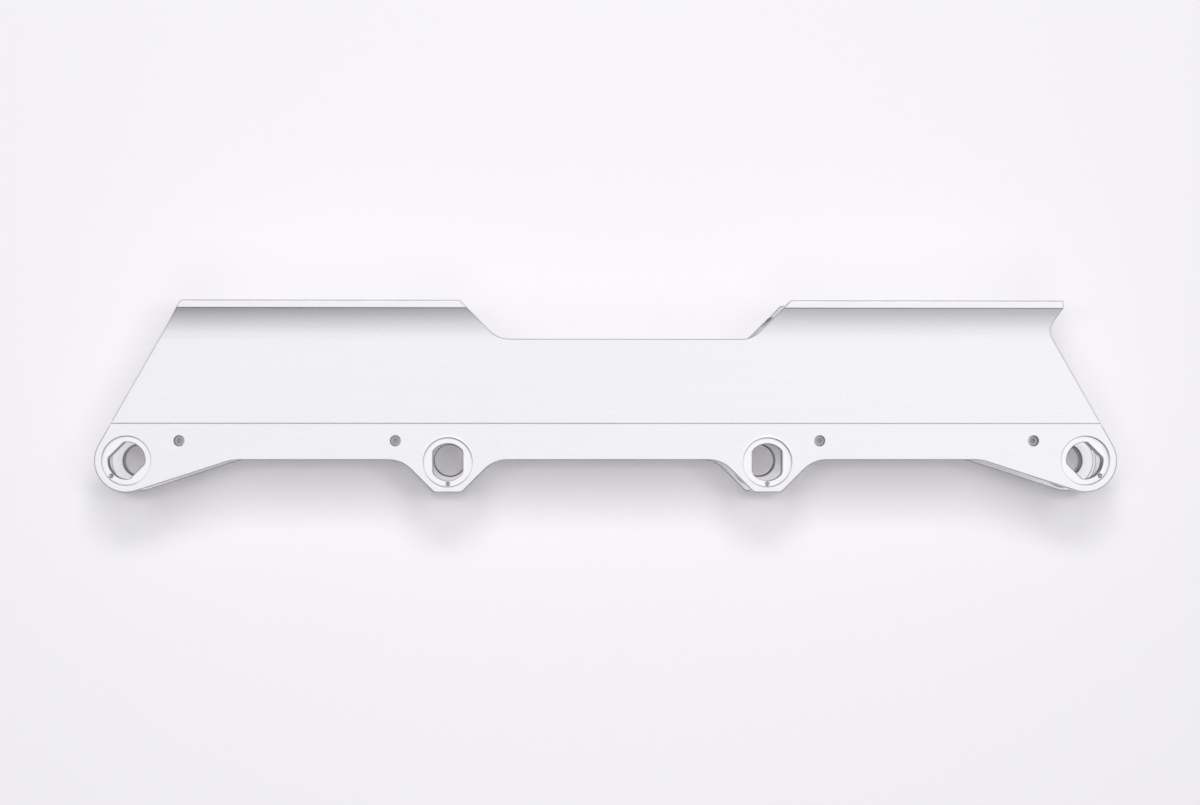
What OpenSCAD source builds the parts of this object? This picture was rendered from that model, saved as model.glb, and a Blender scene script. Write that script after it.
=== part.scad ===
// Inline skate frame for four wheels: one extruded and machined aluminium channel
// that carries the wheels between its walls and bolts under the boot by its two top plates.
// +Z is up, +X points to the heel, and -Y is the wall with the flat-sided axle seats.
// The origin lies midway along the wheelbase, on the plane that the axle hubs stand on.

/* [Wheels and axles] */
// Distance from one axle to the next
axle_pitch = 91; // [91:0.5:110]
// Diameter of the largest wheel
wheel_d = 90; // [76:1:90]
// Room between the wheel and the metal above it
wheel_room = 1.5; // [1:0.1:2.5]
// Clear width between the hub bosses
hub_gap = 24.4; // [22:0.1:30]
// Radius of the round hub at each end of the frame
hub_r = 9; // [8.5:0.1:12]
// Half width of the flat under each inner hub
hub_flat = 3.9; // [2.5:0.1:5]
// Radius that blends the inner hubs into the lower edge
hub_blend_r = 9; // [4:0.5:12]

/* [Axle seats] */
// Diameter of the round spot face
seat_d = 14; // [13:0.1:15.5]
// Depth of the spot face
seat_depth = 1.2; // [0.5:0.1:2]
// Long size of the flat-sided seat
seat_long = 10.6; // [9:0.1:11]
// Distance between the two flats of the seat
seat_flats = 8.5; // [7:0.1:8.8]
// Bevel round the edge of the flat-sided seat
seat_bevel = 0.4; // [0.2:0.1:0.5]
// How far the inner seats lie below the outer ones
seat_drop = 0.5; // [0:0.1:0.6]
// Diameter of the round bore in the other wall
bore_d = 9.1; // [8:0.1:11]
// Bevel round the inner end of that bore
bore_bevel = 0.3; // [0.1:0.1:0.5]
// Diameter of the boss round each bore, inside the channel
boss_d = 16; // [14:0.5:17]
// Height of that boss
boss_h = 1.2; // [0.6:0.1:2]
// Diameter of the dot that shows which way up a seat is used
dot_d = 1.2; // [0.8:0.1:1.2]
// Distance from the seat's centre to that dot
dot_at = 6.1; // [6:0.05:6.3]
// Depth of the dot's straight side, above its drilled point
dot_depth = 0.6; // [0.2:0.1:0.8]

/* [Walls] */
// Thickness of the thick band along the axles
band_t = 5.4; // [4:0.1:8]
// Top of the band, above the axles
band_top = 10.6; // [9.5:0.1:14]
// Lower edge of the band between the hubs, above the axles
band_bottom = 0.2; // [-2:0.1:1]
// How far the wall above the band stands proud of it
wall_step = 0.4; // [0.1:0.1:1]
// Thickness of the wall above the band
wall_t = 3.2; // [2:0.1:4.5]
// Lean of the two ends from the vertical
end_lean = 29.7; // [20:0.1:33]
// Distance from each end axle to where the slanted lower edge meets the band
slant_run = 29.9; // [24:0.1:36]

/* [Mounting plates] */
// Height of the mounting face above the axles
plate_top = 45.5; // [44:0.5:50]
// How far the lips of the plates stand out from the walls
lip_reach = 2.8; // [2:0.1:6]
// Thickness of the lip
lip_t = 2.2; // [1.6:0.1:3]
// Height of the hollow curve under the lip
cove_h = 9; // [6:0.5:12]
// Thickness of the plates beside the walls
plate_t = 3.5; // [3:0.1:5]
// Thickness at the bolts, where the middle of the plates is deeper
pad_t = 7; // [5.5:0.1:9]
// Width of that deeper middle
pad_w = 24; // [18:0.5:25]
// How far the heel plate reaches past the line of the heel end
heel_overhang = 7.5; // [4:0.1:10]
// Lean of the undercut below the heel plate's end
heel_lean = 34.7; // [30:0.1:40]
// Radius at the bottom of that undercut
heel_r = 4.8; // [1:0.1:6]
// Distance between the two mounting bolts
bolt_spacing = 165; // [160:1:170]
// Width of the bolt slots
slot_w = 6.6; // [6:0.1:8.5]
// Length of the bolt slots from end to end
slot_l = 14.6; // [10:0.1:18]

/* [Middle cut-out] */
// Height of the walls in the middle, above the axles
mid_top = 34.6; // [30:0.2:38]
// Distance from the second axle to the toe corner of the cut-out
mid_toe_run = 14.3; // [8:0.1:20]
// Distance from the third axle to the heel corner of the cut-out
mid_heel_run = 4.4; // [2:0.1:20]
// Radius of those corners
mid_r = 7.5; // [3:0.5:9]
// Height of the cross bridge between the middle wheels
bridge_h = 7.5; // [5:0.1:9]

/* [Set screws] */
// Diameter of the tapped holes
screw_hole_d = 3; // [2.5:0.1:4]
// Distance of each hole from its axle, along the frame
screw_from_axle = 14.9; // [12:0.1:20]
// Height of the holes above the axles
screw_up = 5.65; // [4:0.05:7]
// Depth of the screw's socket end below the band's face
screw_sunk = 2.2; // [1:0.1:2.4]
// Length of the screw
screw_l = 3; // [2:0.1:3]
// Size of the hexagon socket, across its flats
socket_af = 1.5; // [1.3:0.1:1.5]
// Depth of the hexagon socket
socket_depth = 1.5; // [1:0.1:2]

/* [Hidden] */
$fn = 96;

metal = [0.82, 0.82, 0.83];
steel = [0.55, 0.56, 0.58];

// Running clearance of a screw in its tapped hole, and a cut's reach past a face
screw_room = 0.05;
past = 1;
// How far the sliver that rounds a corner reaches past it
corner_reach = 0.4;
// Arcs cross the lines they meet by this much, so that they join them cleanly
crossing = 0.002;
// Flat strip left under the lip, outside the hollow curve
lip_flat = 0.3;
// Least thickness that the wheel wells leave at a plate window's edge
window_edge_t = 1.7;
window_r = 4;
// The wells stop this far short of the walls' inner faces
well_side = 0.2;
toe_corner_r = 1.5;
hub_corner_r = 1.5;
seat_corner_r = 1;
// Angle of a drill's point
drill_point = 118;
slant_r = 12;
inner_corner_r = 2.5;
bridge_below_edge = 2;
mid_flank = 45;

// Heights above the plane that the hubs stand on
axle_z = hub_r;
band_bottom_z = axle_z + band_bottom;
band_top_z = axle_z + band_top;
mid_z = axle_z + mid_top;
top_z = axle_z + plate_top;
lip_z = top_z - lip_t;
under_z = top_z - plate_t;
pad_z = top_z - pad_t;
cove_z = lip_z - cove_h;

// Half widths, from the middle plane outwards
band_in = hub_gap / 2 + boss_h;
band_out = band_in + band_t;
wall_out = band_out + wall_step;
wall_in = wall_out - wall_t;
lip_out = wall_out + lip_reach;
cove_out = lip_reach - lip_flat;
cove_r = (cove_h * cove_h + cove_out * cove_out) / (2 * cove_out);

// Axles, from toe to heel
axle_x = [for (i = [-1.5:1:1.5]) i * axle_pitch];
outer_x = axle_x[3];
inner_x = axle_x[2];
inner_corner = hub_flat + band_bottom_z;
slant_x = outer_x - slant_run;
mid_toe_x = mid_toe_run - inner_x;
mid_heel_x = inner_x - mid_heel_run;

// Wheel wells
well_r = wheel_d / 2 + wheel_room;
well_w = 2 * (band_in - well_side);
window_rise = plate_top - window_edge_t;
window_x = window_rise < well_r ? sqrt(pow(well_r, 2) - pow(window_rise, 2)) : 0;
body_l = 2 * (outer_x + hub_r);
body_w = 2 * lip_out;

// Set screws: one beside each axle, on the side of the gap between the pair
screw_x = [
    axle_x[0] + screw_from_axle, axle_x[1] - screw_from_axle,
    axle_x[2] + screw_from_axle, axle_x[3] - screw_from_axle
];
screw_z = axle_z + screw_up;
screw_d = screw_hole_d - 2 * screw_room;

// Point where a line from p touches a circle, below or above its centre
function touch(p, c, r, side) =
    let (v = c - p, d = norm(v), a = atan2(v[1], v[0]) + side * asin(r / d))
    p + sqrt(d * d - r * r) * [cos(a), sin(a)];

// Sliver between a corner at v, whose edges run at angles a1 and a2, and the arc that rounds it.
// It reaches a little past the corner, so that it overlaps what it is joined to or cut from.
module corner(v, a1, a2, r) {
    half = abs(a2 - a1) / 2;
    middle = [cos((a1 + a2) / 2), sin((a1 + a2) / 2)];
    c = v + r / sin(half) * middle;
    t = r / tan(half);
    difference() {
        polygon([
            v - corner_reach * middle, v + t * [cos(a1), sin(a1)],
            c, v + t * [cos(a2), sin(a2)]
        ]);
        translate(c) circle(r + crossing);
    }
}

// Extrudes an outline in X and Z across the width w, centred on the middle plane
module across(w) {
    rotate([90, 0, 0]) linear_extrude(height = w, center = true) children();
}

// Straight cylinder across the frame at x, z from y0 to y1
module pin_hole(x, z, d, y0, y1) {
    translate([x, y1, z]) rotate([90, 0, 0]) cylinder(d = d, h = y1 - y0);
}

// Inner hub, hanging below the band with its blended flanks
module inner_hub_outline(x) {
    foot = hub_flat;
    translate([x, 0]) {
        difference() {
            polygon([
                [-foot, 0], [foot, 0], [inner_corner, band_bottom_z],
                [inner_corner, band_bottom_z + past], [-inner_corner, band_bottom_z + past],
                [-inner_corner, band_bottom_z]
            ]);
            corner([foot, 0], 45, 180, hub_corner_r);
            corner([-foot, 0], 135, 0, hub_corner_r);
        }
        corner([inner_corner, band_bottom_z], -135, 0, hub_blend_r);
        corner([-inner_corner, band_bottom_z], -45, -180, hub_blend_r);
    }
}

// Space above the middle of the walls, between the two plates
module middle_cut_outline() {
    rise = top_z + past - mid_z;
    difference() {
        polygon([
            [mid_toe_x, mid_z], [mid_heel_x, mid_z],
            [mid_heel_x + rise, mid_z + rise], [mid_toe_x - rise, mid_z + rise]
        ]);
        corner([mid_toe_x, mid_z], 0, 180 - mid_flank, mid_r);
        corner([mid_heel_x, mid_z], mid_flank, 180, mid_r);
    }
}

// Side view of the whole frame
module side_outline() {
    toe = [-outer_x, axle_z];
    heel = [outer_x, axle_z];
    lobe_r = hub_r - crossing;
    toe_side = toe + lobe_r * [-cos(end_lean), sin(end_lean)];
    heel_side = heel + lobe_r * [cos(end_lean), sin(end_lean)];
    toe_slant = [-slant_x, band_bottom_z];
    heel_slant = [slant_x, band_bottom_z];
    toe_top = toe_side + (top_z - toe_side[1]) * [tan(end_lean), 1];
    heel_lip = heel_side + (lip_z - heel_side[1]) * [-tan(end_lean), 1] + [heel_overhang, 0];
    // The undercut's two lines meet here
    notch = heel_lip - heel_overhang / (tan(end_lean) + tan(heel_lean)) * [tan(heel_lean), 1];
    heel_foot = touch(heel_slant, heel, lobe_r, -1);
    toe_foot = touch(toe_slant, toe, lobe_r, 1);
    slope = atan2(heel_foot[1] - heel_slant[1], heel_foot[0] - heel_slant[0]);
    difference() {
        union() {
            polygon([
                toe_side, toe_foot, toe_slant,
                heel_slant, heel_foot, heel_side,
                notch, heel_lip, heel_lip + [0, lip_t], toe_top
            ]);
            for (c = [toe, heel]) translate(c) circle(hub_r);
            for (x = [-inner_x, inner_x]) inner_hub_outline(x);
            corner(notch, 90 - heel_lean, end_lean - 90, heel_r);
            corner(heel_slant, 180, 360 + slope, slant_r);
            corner(toe_slant, 0, -180 - slope, slant_r);
        }
        middle_cut_outline();
        corner(toe_top, 0, -90 - end_lean, toe_corner_r);
    }
}

// Cross section of the extrusion, looking along the frame
module cross_section() {
    difference() {
        union() {
            translate([-band_out, 0]) square([2 * band_out, band_top_z]);
            translate([-wall_out, band_top_z]) square([2 * wall_out, lip_z - band_top_z]);
            translate([-lip_out, lip_z]) square([body_w, lip_t]);
            for (s = [0, 1]) mirror([s, 0]) difference() {
                translate([wall_out - past, cove_z]) square([cove_out + past, cove_h]);
                translate([wall_out + cove_r, cove_z]) circle(cove_r);
            }
        }
        channel_section();
    }
}

// Hollow of the channel: narrow along the axles, wider above, with a deeper pad overhead
module channel_section() {
    widen = wall_in - band_in;
    difference() {
        union() {
            translate([-band_in, -past]) square([2 * band_in, band_top_z + past]);
            polygon([
                [-band_in, band_top_z], [band_in, band_top_z],
                [wall_in, band_top_z + widen], [wall_in, under_z],
                [-wall_in, under_z], [-wall_in, band_top_z + widen]
            ]);
        }
        for (s = [0, 1]) mirror([s, 0]) corner([wall_in, under_z], 180, 270, inner_corner_r);
        translate([-pad_w / 2, pad_z]) square([pad_w, pad_t]);
    }
}

// Bridge that ties the walls together between the middle wheels
module bridge() {
    z1 = mid_z - bridge_below_edge;
    translate([-inner_x / 2, -wall_in - wall_t / 2, z1 - bridge_h])
        cube([inner_x, 2 * wall_in + wall_t, bridge_h]);
}

// Round well that a wheel turns in
module wheel_well(x) {
    pin_hole(x, axle_z, 2 * well_r, -well_w / 2, well_w / 2);
}

// Window through a plate over a wheel, with round corners, where the well would leave it thin
module wheel_window(x) {
    a = window_x - window_r;
    b = well_w / 2 - window_r;
    if (a > 0) translate([x, 0, under_z - pad_t]) linear_extrude(height = 2 * pad_t + past) {
        square([2 * window_x, 2 * b], center = true);
        square([2 * a, well_w], center = true);
        for (i = [-1, 1], j = [-1, 1]) translate([i * a, j * b]) circle(window_r);
    }
}

// Slot for a mounting bolt
module bolt_slot(x) {
    run = (slot_l - slot_w) / 2;
    translate([x, 0, pad_z - past]) {
        for (s = [-run, run]) translate([s, 0, 0]) cylinder(d = slot_w, h = pad_t + 2 * past);
        translate([-run, -slot_w / 2, 0]) cube([2 * run, slot_w, pad_t + 2 * past]);
    }
}

// Outline of a round opening with two flats, whose corners are rounded
module flat_sided_outline() {
    r = seat_long / 2;
    w = seat_flats / 2 - seat_corner_r;
    h = sqrt(pow(r - seat_corner_r, 2) - w * w);
    square([seat_flats, 2 * h], center = true);
    for (i = [-1, 1], j = [-1, 1]) translate([i * w, j * h]) circle(seat_corner_r);
    intersection() {
        circle(r);
        square([2 * w * r / (r - seat_corner_r), seat_long], center = true);
    }
}

// Bevel round that opening, cut from the floor of the spot face inwards
module flat_sided_bevel() {
    r = seat_long / 2;
    w = seat_flats / 2;
    b = seat_bevel;
    intersection() {
        cylinder(r1 = r + 2 * b, r2 = r - b, h = 3 * b, center = true);
        rotate([90, 0, 0]) linear_extrude(height = seat_d, center = true)
            polygon([
                [-w - 2 * b, -1.5 * b], [w + 2 * b, -1.5 * b], [w - b, 1.5 * b], [b - w, 1.5 * b]
            ]);
    }
}

// Seat in the near wall: spot face, flat-sided hole and dot
module near_seat(i) {
    outer = i == 0 || i == 3;
    floor_y = -band_out + seat_depth;
    x = axle_x[i];
    z = axle_z - (outer ? 0 : seat_drop);
    lean = i == 0 ? 45 : i == 3 ? -45 : 0;
    pin_hole(x, z, seat_d, -band_out - past, floor_y);
    translate([x, floor_y, z]) rotate([0, lean, 0]) rotate([-90, 0, 0]) {
        translate([0, 0, -past]) linear_extrude(height = band_t + boss_h + past)
            flat_sided_outline();
        translate([0, 0, -seat_bevel / 2]) flat_sided_bevel();
    }
    translate([x, 0, z]) rotate([0, lean, 0]) translate([0, 0, -dot_at]) {
        pin_hole(0, 0, dot_d, -band_out, floor_y + dot_depth);
        translate([0, floor_y + dot_depth, 0]) rotate([-90, 0, 0])
            cylinder(d1 = dot_d, d2 = 0, h = dot_d / 2 / tan(drill_point / 2));
    }
}

// Seat in the far wall: spot face and round bore
module far_seat(i) {
    x = axle_x[i];
    pin_hole(x, axle_z, seat_d, band_out - seat_depth, band_out + past);
    pin_hole(x, axle_z, bore_d, 0, band_out + past);
    translate([x, hub_gap / 2 - bore_bevel, axle_z]) rotate([-90, 0, 0])
        cylinder(r1 = bore_d / 2 + 2 * bore_bevel, r2 = bore_d / 2, h = 2 * bore_bevel);
}

// Boss inside each wall, that the wheel's bearing runs against
module bosses(x) {
    for (s = [0, 1]) mirror([0, s, 0])
        pin_hole(x, axle_z, boss_d, hub_gap / 2, band_in + boss_h);
}

module frame_body() {
    color(metal) difference() {
        union() {
            difference() {
                union() {
                    intersection() {
                        across(body_w + 2 * past) side_outline();
                        rotate([90, 0, 90]) linear_extrude(height = body_l + 2 * past, center = true)
                            cross_section();
                    }
                    bridge();
                }
                for (x = axle_x) wheel_well(x);
                for (i = [1:3]) wheel_window(axle_x[i]);
                for (s = [-1, 1]) bolt_slot(s * bolt_spacing / 2);
            }
            for (x = axle_x) bosses(x);
        }
        for (i = [0:3]) {
            near_seat(i);
            far_seat(i);
            pin_hole(screw_x[i], screw_z, screw_hole_d, -band_out - past, -band_in + past);
            pin_hole(screw_x[i], screw_z, screw_hole_d, band_in - past, band_out + past);
        }
    }
}

// Headless screw with a hexagon socket, in the near wall (side 1) or the far wall (side -1)
module set_screw(i, side) {
    face = band_out - screw_sunk;
    color(steel) translate([screw_x[i], -side * face, screw_z]) rotate([-90 * side, 0, 0])
        difference() {
            cylinder(d = screw_d, h = screw_l);
            translate([0, 0, -past]) cylinder(d = socket_af / cos(30), h = socket_depth + past, $fn = 6);
        }
}

frame_body();
set_screw(0, 1);  // set_screw_near_1
set_screw(1, 1);  // set_screw_near_2
set_screw(2, 1);  // set_screw_near_3
set_screw(3, 1);  // set_screw_near_4
set_screw(0, -1);  // set_screw_far_1
set_screw(1, -1);  // set_screw_far_2
set_screw(2, -1);  // set_screw_far_3
set_screw(3, -1);  // set_screw_far_4
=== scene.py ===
import math

import bpy
from mathutils import Euler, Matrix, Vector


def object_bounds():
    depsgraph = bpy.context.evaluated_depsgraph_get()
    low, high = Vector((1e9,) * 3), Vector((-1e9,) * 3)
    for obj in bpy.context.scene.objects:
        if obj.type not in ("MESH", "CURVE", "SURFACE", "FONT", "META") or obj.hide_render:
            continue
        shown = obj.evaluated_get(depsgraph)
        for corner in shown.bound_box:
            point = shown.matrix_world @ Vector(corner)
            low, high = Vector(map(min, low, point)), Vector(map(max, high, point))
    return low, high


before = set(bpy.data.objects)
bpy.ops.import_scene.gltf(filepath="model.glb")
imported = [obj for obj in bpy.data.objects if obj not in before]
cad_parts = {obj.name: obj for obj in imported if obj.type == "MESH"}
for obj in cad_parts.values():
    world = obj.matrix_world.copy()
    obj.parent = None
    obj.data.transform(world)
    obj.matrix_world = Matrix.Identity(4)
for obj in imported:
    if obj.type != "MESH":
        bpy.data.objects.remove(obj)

cad_box = [list(corner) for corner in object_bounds()]

# The frame body: one length of extruded aluminium channel, milled to its outline, blasted to
# a fine matt and silver anodised. The seats and bores were cut last, and the seats keep their
# turning marks; the walls of the bores are painted grey as shade. The edges are broken by a
# hair, and a grey line of painted shade runs along them and in the creases.

noise_mean = 0.5


class Wire:
    """A value in a material: a node's output, on which sums are written as on a number."""

    def __init__(self, tree, socket):
        self.tree = tree
        self.socket = socket

    def add(self, kind, settings=None, output=0, **inputs):
        """Adds a node of this kind, with its settings made first, and returns its output.

        Its inputs go by name, or by number as i0, i1 and so on.
        """
        node = self.tree.nodes.new(kind)
        for name, value in (settings or {}).items():
            setattr(node, name, value)
        for name, value in inputs.items():
            key = int(name[1:]) if name[1:].isdigit() else name.replace("_", " ")
            if isinstance(value, Wire):
                self.tree.links.new(value.socket, node.inputs[key])
            else:
                node.inputs[key].default_value = value
        return Wire(self.tree, node.outputs[output])

    def sum(self, operation, first, second=0.0):
        return self.add("ShaderNodeMath", {"operation": operation}, i0=first, i1=second)

    def __add__(self, other):
        return self.sum("ADD", self, other)

    def __sub__(self, other):
        return self.sum("SUBTRACT", self, other)

    def __rsub__(self, other):
        return self.sum("SUBTRACT", other, self)

    def __mul__(self, other):
        return self.sum("MULTIPLY", self, other)

    def __abs__(self):
        return self.sum("ABSOLUTE", self)

    __radd__ = __add__
    __rmul__ = __mul__

    def least(self, other):
        return self.sum("MINIMUM", self, other)

    def most(self, other):
        return self.sum("MAXIMUM", self, other)

    def root(self):
        return self.sum("SQRT", self)

    def sine(self):
        return self.sum("SINE", self)

    def step(self, start, end):
        """0 up to start and 1 from end on, eased between them."""
        return self.add("ShaderNodeMapRange", {"interpolation_type": "SMOOTHSTEP"},
                        Value=self, From_Min=start, From_Max=end)

    def until(self, start, end):
        """1 up to start and 0 from end on, eased between them."""
        return 1 - self.step(start, end)

    def near(self, target, full, gone):
        """1 within the distance full of the target, and 0 beyond the distance gone."""
        return abs(self - target).until(full, gone)

    def between(self, low, high, soft):
        """1 between low and high, eased over the width soft just inside them."""
        return self.step(low, low + soft) * self.until(high - soft, high)

    def blend(self, low, high):
        """The colour low where this is 0, and high where it is 1."""
        colours = {"i6": low, "i7": high}
        return self.add("ShaderNodeMix", {"data_type": "RGBA"}, output=2, Factor=self, **colours)

    def noise(self, place, size, detail=3.0, roughness=0.5):
        """Noise around 0, whose marks are about this size, in metres."""
        value = self.add("ShaderNodeTexNoise", Vector=place, Scale=1 / size, Detail=detail,
                         Roughness=roughness)
        return value - noise_mean


def new_material(name):
    """A new material, its shader and its object coordinates."""
    material = bpy.data.materials.new(name)
    material.use_nodes = True
    shader = material.node_tree.nodes["Principled BSDF"]
    place = material.node_tree.nodes.new("ShaderNodeTexCoord").outputs["Object"]
    return material, shader, Wire(material.node_tree, place)


def feed(shader, **wires):
    for name, wire in wires.items():
        wire.tree.links.new(wire.socket, shader.inputs[name.replace("_", " ")])


def paint(piece, material):
    for spot in piece.material_slots:
        spot.material = material


def stretched(place, along):
    """The same place with its X drawn out, so that marks run along the frame."""
    return place.add("ShaderNodeMapping", Vector=place, Scale=(1 / along, 1, 1))


def axis_of(place, axis):
    return place.add("ShaderNodeSeparateXYZ", output=axis, Vector=place)


axle_pitch = 0.091
axle_height = 0.009


def from_axles(x, z, height, beside=0.0):
    """How far a place is from the nearest axle's line, or from a line beside the axles."""
    from_inner_pair = abs(abs(x) - axle_pitch)
    across = abs(abs(from_inner_pair - axle_pitch / 2) - beside)
    up = z - height
    return (across * across + up * up).root()


plate_height = cad_box[1][2]
lip_half_width = cad_box[1][1]
band_top = 0.0196
seat_radius = 0.007
seat_floor = 0.0176
hub_half_gap = 0.0122
bore_reach = 0.006
screw_beside_axle = 0.0149
screw_height = 0.01465
screw_hole_radius = 0.0015

silver_low = (0.765, 0.755, 0.775, 1)
silver_high = (0.82, 0.81, 0.83, 1)
rubbed_silver = (0.84, 0.83, 0.85, 1)
# The last two greys are painted shade: the first darkens the walls of the bores, the second draws
# a line of shade along the edges and in the creases
bore_shade_grey = (0.32, 0.315, 0.33, 1)
edge_shade_grey = (0.26, 0.255, 0.265, 1)

metal, shader, place = new_material("blasted_aluminium")
x = axis_of(place, "X")
y = axis_of(place, "Y")
z = axis_of(place, "Z")
depth = abs(y)
to_axle = from_axles(x, z, axle_height)
to_screw = from_axles(x, z, screw_height, screw_beside_axle)

# The blasted grain, faint clouds in the anodising, and the lines drawn by the extruder's die
blast_size = 0.0006
cloud_size = 0.03
line_width = 0.0005
line_stretch = 60
blasted = x.noise(place, blast_size, detail=4.0, roughness=0.6)
clouds = x.noise(place, cloud_size, detail=2.0)
drawn = x.noise(stretched(place, line_stretch), line_width, detail=2.0)
blast_tone = 1.1
cloud_tone = 0.4
line_tone = 0.3
middle_tone = 0.5
lowest_tone = 0.1
highest_tone = 0.9
tone = clouds * cloud_tone + blasted * blast_tone + drawn * line_tone + middle_tone
plain = tone.step(lowest_tone, highest_tone).blend(silver_low, silver_high)

# The rings that the cutter left on each seat, and painted shade inside the bores: their walls are
# painted grey
ring_spacing = 0.00035
ring_margin = 0.0002
ring_fade = 0.0003
rings_end = seat_radius + ring_margin
turned_zone = to_axle.until(rings_end, rings_end + ring_fade)
turned_rings = (to_axle * (2 * math.pi / ring_spacing)).sine()
bore_margin = 0.00005
bore_fade = 0.00015
reach_fade = 0.0002
in_bore = depth.between(hub_half_gap + bore_margin, seat_floor - bore_margin, soft=bore_fade)
painted_bore_shade = to_axle.until(bore_reach - reach_fade, bore_reach) * in_bore

# Where hands and boots rub: the top of the lips and the seats' rims, in patches
rub_full = 0.0001
rub_down = 0.0008
rub_inward = 0.0006
lip_top = z.step(plate_height - rub_down, plate_height - rub_full)
lip_side = depth.step(lip_half_width - rub_inward, lip_half_width - rub_full)
rim_full = 0.0001
rim_gone = 0.0004
rim_rub = 0.6
seat_rim = to_axle.near(seat_radius, rim_full, rim_gone) * rim_rub
patch_size = 0.006
patch_start = 0.35
patch_full = 0.7
patches = (x.noise(place, patch_size) + noise_mean).step(patch_start, patch_full)
rubbed = lip_top.least(lip_side).most(seat_rim) * patches

# The broken edges: a small round on each corner, and a thin grey line of painted shade along
# each edge and in each crease, where the metal's face turns away from the flat
edge_round = 0.00028
edge_band = 0.0007
edge_samples = 8
rounded = x.add("ShaderNodeBevel", {"samples": edge_samples}, Radius=edge_round)
across_edge = x.add("ShaderNodeBevel", {"samples": edge_samples}, Radius=edge_band)
flat = x.add("ShaderNodeNewGeometry", output="True Normal")
alike = x.add("ShaderNodeVectorMath", {"operation": "DOT_PRODUCT"}, output="Value",
              i0=across_edge, i1=flat)
turn_start = 0.01
turn_full = 0.08
turned_away = (1 - alike).step(turn_start, turn_full)

# How strong that painted shade is: fainter along the extruded step, above it, and round the
# screw holes and the far wall's bores, and faintest on the lower half of each seat, so that
# each seat's rim is painted darker at its top than at its bottom
step_full = 0.0005
step_gone = 0.0009
step_ease = 0.55
step_off = z.near(band_top, step_full, step_gone) * step_ease

high_start = band_top - 0.007
high_full = band_top + 0.005
high_ease = 0.3
high_off = z.step(high_start, high_full) * high_ease

seat_ring = seat_radius - 0.0004
seat_full = 0.0011
seat_gone = 0.0013
seat_fade = 0.003
whole_seat_ease = 0.4
low_seat_ease = 0.4
low_half = (z - axle_height).until(-seat_fade, seat_fade)
on_seat = to_axle.near(seat_ring, seat_full, seat_gone)
seat_off = on_seat * (low_half * low_seat_ease + whole_seat_ease)

hole_full = 0.0007
hole_gone = 0.001
hole_ease = 0.7
hole_off = to_screw.near(screw_hole_radius, hole_full, hole_gone) * hole_ease

far_rim_full = 0.0053
far_rim_gone = 0.0056
far_fade = 0.001
far_rim_ease = 0.45
on_far_side = y.step(hub_half_gap - far_fade, hub_half_gap)
far_rim_off = to_axle.until(far_rim_full, far_rim_gone) * on_far_side * far_rim_ease

line_strength = 0.9
strongest = line_strength - high_off - step_off - seat_off - hole_off - far_rim_off
# The line of painted shade along the edges and in the creases
painted_edge_shade = turned_away * strongest.most(0)

# The relief of the grain, the rings and the drawn lines, and how matt each finish is
ring_height = 0.3
line_height = 0.5
relief_strength = 0.12
relief_depth = 0.0001
relief = blasted * (1 - turned_zone) + turned_rings * turned_zone * ring_height
bump = x.add("ShaderNodeBump", Height=relief + drawn * line_height, Normal=rounded,
             Strength=relief_strength, Distance=relief_depth)
matt = 0.42
blast_matt = 0.08
cloud_matt = 0.04
rub_shine = 0.12
ring_shine = 0.06
uneven = blasted * blast_matt + clouds * cloud_matt
# The faces' colour, with the walls of the bores painted grey as shade
faces = painted_bore_shade.blend(rubbed.blend(plain, rubbed_silver), bore_shade_grey)
shader.inputs["Metallic"].default_value = 1.0
feed(
    shader,
    Base_Color=painted_edge_shade.blend(faces, edge_shade_grey),
    Roughness=matt + uneven - rubbed * rub_shine - turned_zone * ring_shine,
    Normal=bump,
)
paint(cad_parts["frame_body"], metal)

# The set screws: eight short headless screws of dull plain steel with hexagon sockets, one in
# the threaded hole beside each axle. The key has rubbed each socket's rim a little brighter.

steel_low = (0.34, 0.34, 0.35, 1)
steel_high = (0.44, 0.44, 0.46, 1)
socket_rim_radius = 0.0009
socket_rim_full = 0.00005
socket_rim_gone = 0.0003

steel, shader, place = new_material("dull_steel")
x = axis_of(place, "X")
z = axis_of(place, "Z")
to_screw = from_axles(x, z, screw_height, screw_beside_axle)
socket_rim = to_screw.near(socket_rim_radius, socket_rim_full, socket_rim_gone)

steel_grain_size = 0.0003
steel_grain = x.noise(place, steel_grain_size)
steel_relief_strength = 0.2
steel_relief_depth = 0.00005
bump = x.add("ShaderNodeBump", Height=steel_grain, Strength=steel_relief_strength,
             Distance=steel_relief_depth)

steel_tone = 0.25
grain_tone = 0.3
socket_rim_tone = 0.35
steel_matt = 0.4
grain_matt = 0.15
socket_rim_shine = 0.1
tone = socket_rim * socket_rim_tone + steel_grain * grain_tone + steel_tone
shader.inputs["Metallic"].default_value = 1.0
feed(
    shader,
    Base_Color=tone.blend(steel_low, steel_high),
    Roughness=steel_matt + steel_grain * grain_matt - socket_rim * socket_rim_shine,
    Normal=bump,
)
for name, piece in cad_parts.items():
    if name.startswith("set_screw"):
        paint(piece, steel)

# The table: pale, matt and behind the far wall, on which the frame lies as seen from straight
# above. It shows only from its front, so that the frame is also seen from behind, and fades
# into the pale surroundings away from the frame.

table_gap = 0.0002
table_half = 2.0
table_y = lip_half_width + table_gap
corners = [(-table_half, -table_half), (table_half, -table_half),
           (table_half, table_half), (-table_half, table_half)]
table_mesh = bpy.data.meshes.new("table")
table_mesh.from_pydata([(a, table_y, b) for a, b in corners], [], [(0, 1, 2, 3)])
table = bpy.data.objects.new("table", table_mesh)
bpy.context.collection.objects.link(table)

table_colour = (0.932, 0.915, 0.942, 1)
table_glow = 0.04
table_matt = 0.9

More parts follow.
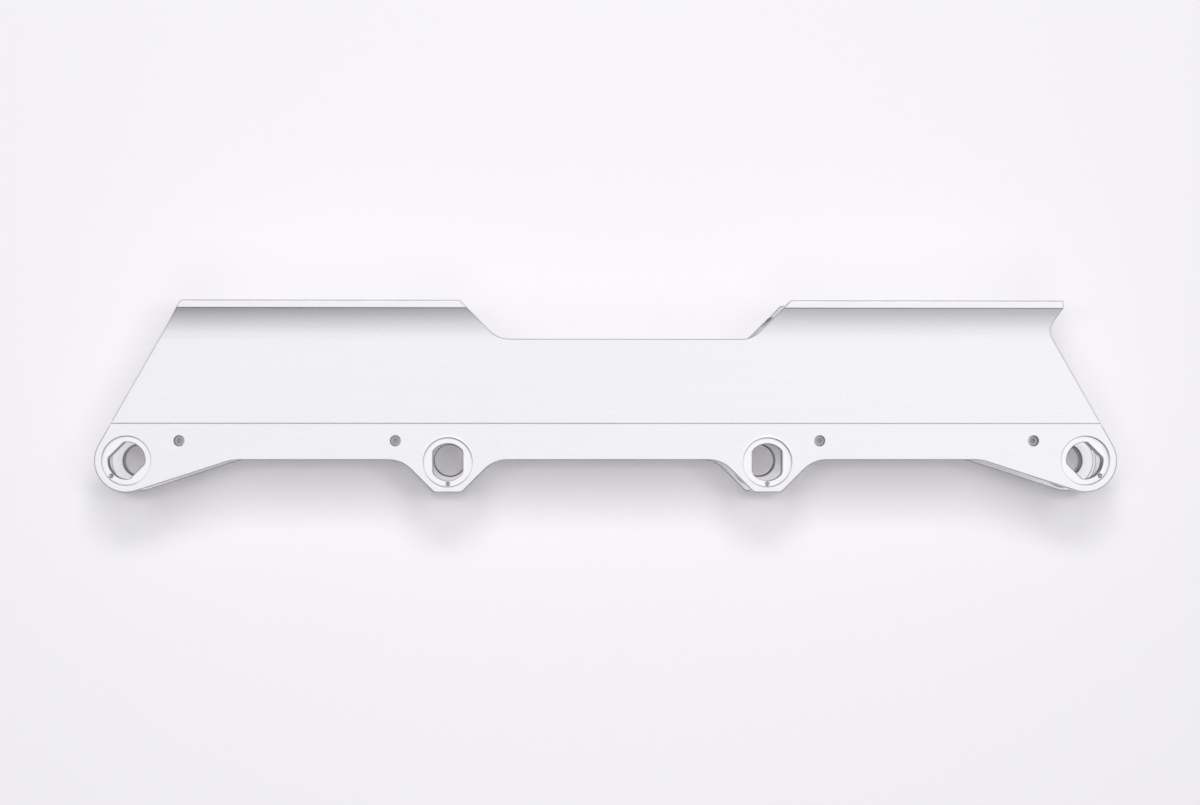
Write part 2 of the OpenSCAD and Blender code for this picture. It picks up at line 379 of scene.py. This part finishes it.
paper_sheet, shader, place = new_material("table_paper")
shader.inputs["Base Color"].default_value = table_colour
shader.inputs["Roughness"].default_value = table_matt
shader.inputs["Specular IOR Level"].default_value = 0.0
shader.inputs["Emission Color"].default_value = table_colour
shader.inputs["Emission Strength"].default_value = table_glow

# The part of the table that the far wall covers: its side outline and its hubs, but not what
# lies behind its bores
frame_half_length = cad_box[1][0]
hub_radius = 0.009
bore_radius = 0.00455
side_soft = 0.0003
outline_soft = 0.0002
bore_soft = 0.00005
x = axis_of(place, "X")
z = axis_of(place, "Z")
to_axle = from_axles(x, z, axle_height)
ends = abs(x).until(frame_half_length - outline_soft, frame_half_length + outline_soft)
under_side = z.between(axle_height, plate_height, soft=side_soft) * ends
under_hub = to_axle.until(hub_radius - outline_soft, hub_radius + outline_soft)
beside_bore = to_axle.step(bore_radius - bore_soft, bore_radius + bore_soft)
under_wall = under_side.most(under_hub) * beside_bore

# What sees the table: the camera, and the metal that mirrors it, except for the covered part,
# which lies in the dark
fade_start = 0.22
fade_end = 0.4
camera_ray = place.add("ShaderNodeLightPath", output="Is Camera Ray")
glossy_ray = place.add("ShaderNodeLightPath", output="Is Glossy Ray")
seen = camera_ray + glossy_ray * (1 - under_wall)
from_behind = place.add("ShaderNodeNewGeometry", output="Backfacing")
near_by = (x * x + z * z).root().until(fade_start, fade_end)
clear = place.add("ShaderNodeBsdfTransparent")
paper = Wire(place.tree, shader.outputs[0])
shown = place.add("ShaderNodeMixShader", i0=seen * (1 - from_behind) * near_by, i1=clear, i2=paper)
output = place.tree.nodes["Material Output"]
place.tree.links.new(shown.socket, output.inputs["Surface"])
table_mesh.materials.append(paper_sheet)

# The light: a pale tent that the metal mirrors, and three soft lamps beyond the camera, which
# throw the frame's shadow on the table. The tent is dark low down on the toe side, dim high
# up and at its ends, and a touch dimmer on the heel side.

tent_white = 0.93
fill = 0.1
white = (1, 1, 1, 1)

# How bright the metal sees the tent, and between which directions that changes, each given as
# a part of the unit vector that points there
tent_level = 1.555
dark_below = -0.85
light_above = 0.25
heel_side_floor = 0.95
middle_half_width = 0.3
heel_dimming = 0.075
end_level = 0.25
ends_gone = 0.75
roof_full = 0.7
roof_dimming = 0.85

world = bpy.data.worlds.new("pale_tent")
world.use_nodes = True
bpy.context.scene.world = world
tent = world.node_tree
way = Wire(tent, tent.nodes.new("ShaderNodeTexCoord").outputs["Generated"])
to_heel = axis_of(way, "X")
to_front = abs(axis_of(way, "Y"))
height = axis_of(way, "Z")

lowest = to_heel.step(-middle_half_width, middle_half_width) * heel_side_floor
level = height.add("ShaderNodeMapRange", Value=height, From_Min=dark_below, From_Max=light_above,
                   To_Min=lowest, To_Max=tent_level)
ends = to_front.step(0.0, ends_gone) * (1 - end_level) + end_level
roof = 1 - height.step(light_above, roof_full) * roof_dimming
heel = 1 - to_heel.step(0.0, middle_half_width) * heel_dimming
mirrored = level * ends * roof * heel

camera_ray = way.add("ShaderNodeLightPath", output="Is Camera Ray")
glossy_ray = way.add("ShaderNodeLightPath", output="Is Glossy Ray")
strength = glossy_ray * (mirrored - fill) + camera_ray * (tent_white - fill) + fill
tent.links.new(strength.socket, tent.nodes["Background"].inputs["Strength"])
tent.nodes["Background"].inputs["Color"].default_value = white

lamp_far = 1.3


def add_lamp(name, lean, width, depth, power):
    """A lamp this many degrees above the level line to the frame, facing its base."""
    data = bpy.data.lights.new(name, "AREA")
    data.shape = "RECTANGLE"
    data.size = width
    data.size_y = depth
    data.energy = power
    lamp = bpy.data.objects.new(name, data)
    bpy.context.collection.objects.link(lamp)
    tilt = math.radians(lean)
    lamp.location = (0, -lamp_far * math.cos(tilt), lamp_far * math.sin(tilt))
    lamp.rotation_euler = Euler((math.radians(90) - tilt, 0, 0))
    lamp.visible_glossy = False


add_lamp("wide_softbox", lean=15, width=0.4, depth=0.56, power=9.6)
add_lamp("near_softbox", lean=2.2, width=0.8, depth=0.12, power=4.05)
add_lamp("low_softbox", lean=-12, width=0.4, depth=0.5, power=1.75)

# The camera: a long lens almost square to the near wall, a little to the toe side of the
# frame's middle and near its base, turned a degree or two towards the heel and up.

camera_place = (-0.0275, -0.9061, 0.0116)
camera_pitch = math.radians(90.899)
camera_turn = math.radians(-1.63)
lens_length = 93.64
sensor_width = 36

view = bpy.data.cameras.new("camera")
view.lens = lens_length
view.sensor_width = sensor_width
camera = bpy.data.objects.new("camera", view)
bpy.context.collection.objects.link(camera)
camera.location = camera_place
camera.rotation_euler = Euler((camera_pitch, 0, camera_turn))
bpy.context.scene.camera = camera
bpy.context.scene.view_settings.view_transform = "Standard"
